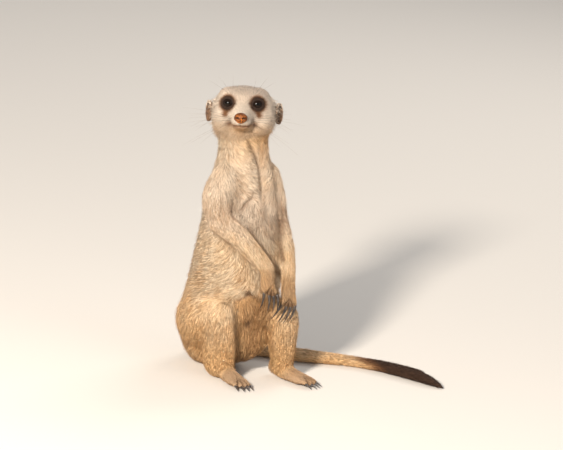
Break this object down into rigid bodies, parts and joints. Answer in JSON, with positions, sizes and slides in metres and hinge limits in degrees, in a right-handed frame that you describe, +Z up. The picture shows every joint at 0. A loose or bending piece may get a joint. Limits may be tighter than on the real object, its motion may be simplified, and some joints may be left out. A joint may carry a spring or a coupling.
{
  "type": "meerkat",
  "caption": "Still life-size meerkat sitting upright on its haunches, hands hanging before its belly, head turned and looking ahead, long tail laid on the floor.",
  "frame": {"origin": "middle of the footprint's bounding box, at floor level", "axes": "+Z up, -Y the way the face looks, +X to the animal's left; the trunk is turned 40 degrees from the face, towards +X"},
  "size_m": [0.252, 0.1358, 0.263],
  "materials": {
    "fur_cream": "short cream fur with fine darker ticking",
    "fur_tan": "short tan fur, greyer on the feet",
    "fur_black": "short brown-black fur of the tail's end",
    "skin_dark": "dark, finely haired skin of the ears",
    "nose_brown": "grained brown nose pad dusted with ochre sand",
    "claw_horn": "smooth dark horn",
    "eye_brown": "wet, very dark brown"
  },
  "bodies": {
    "root": {"trunk": "fur_cream", "neck": "fur_cream", "head": "fur_cream", "upper_arm_left": "fur_cream", "forearm_left": "fur_cream", "thigh_left": "fur_cream", "shank_left": "fur_cream", "hand_left": "fur_tan", "foot_left": "fur_tan", "ear_left": "skin_dark", "eye_left": "eye_brown", "claw_fore_left_1": "claw_horn", "claw_fore_left_2": "claw_horn", "claw_fore_left_3": "claw_horn", "claw_fore_left_4": "claw_horn", "claw_hind_left_1": "claw_horn", "claw_hind_left_2": "claw_horn", "claw_hind_left_3": "claw_horn", "claw_hind_left_4": "claw_horn", "upper_arm_right": "fur_cream", "forearm_right": "fur_cream", "thigh_right": "fur_cream", "shank_right": "fur_cream", "hand_right": "fur_tan", "foot_right": "fur_tan", "ear_right": "skin_dark", "eye_right": "eye_brown", "claw_fore_right_1": "claw_horn", "claw_fore_right_2": "claw_horn", "claw_fore_right_3": "claw_horn", "claw_fore_right_4": "claw_horn", "claw_hind_right_1": "claw_horn", "claw_hind_right_2": "claw_horn", "claw_hind_right_3": "claw_horn", "claw_hind_right_4": "claw_horn", "tail_base": "fur_tan", "tail_middle": "fur_tan", "tail_tip": "fur_black", "nose": "nose_brown"}
  },
  "joints": []
}
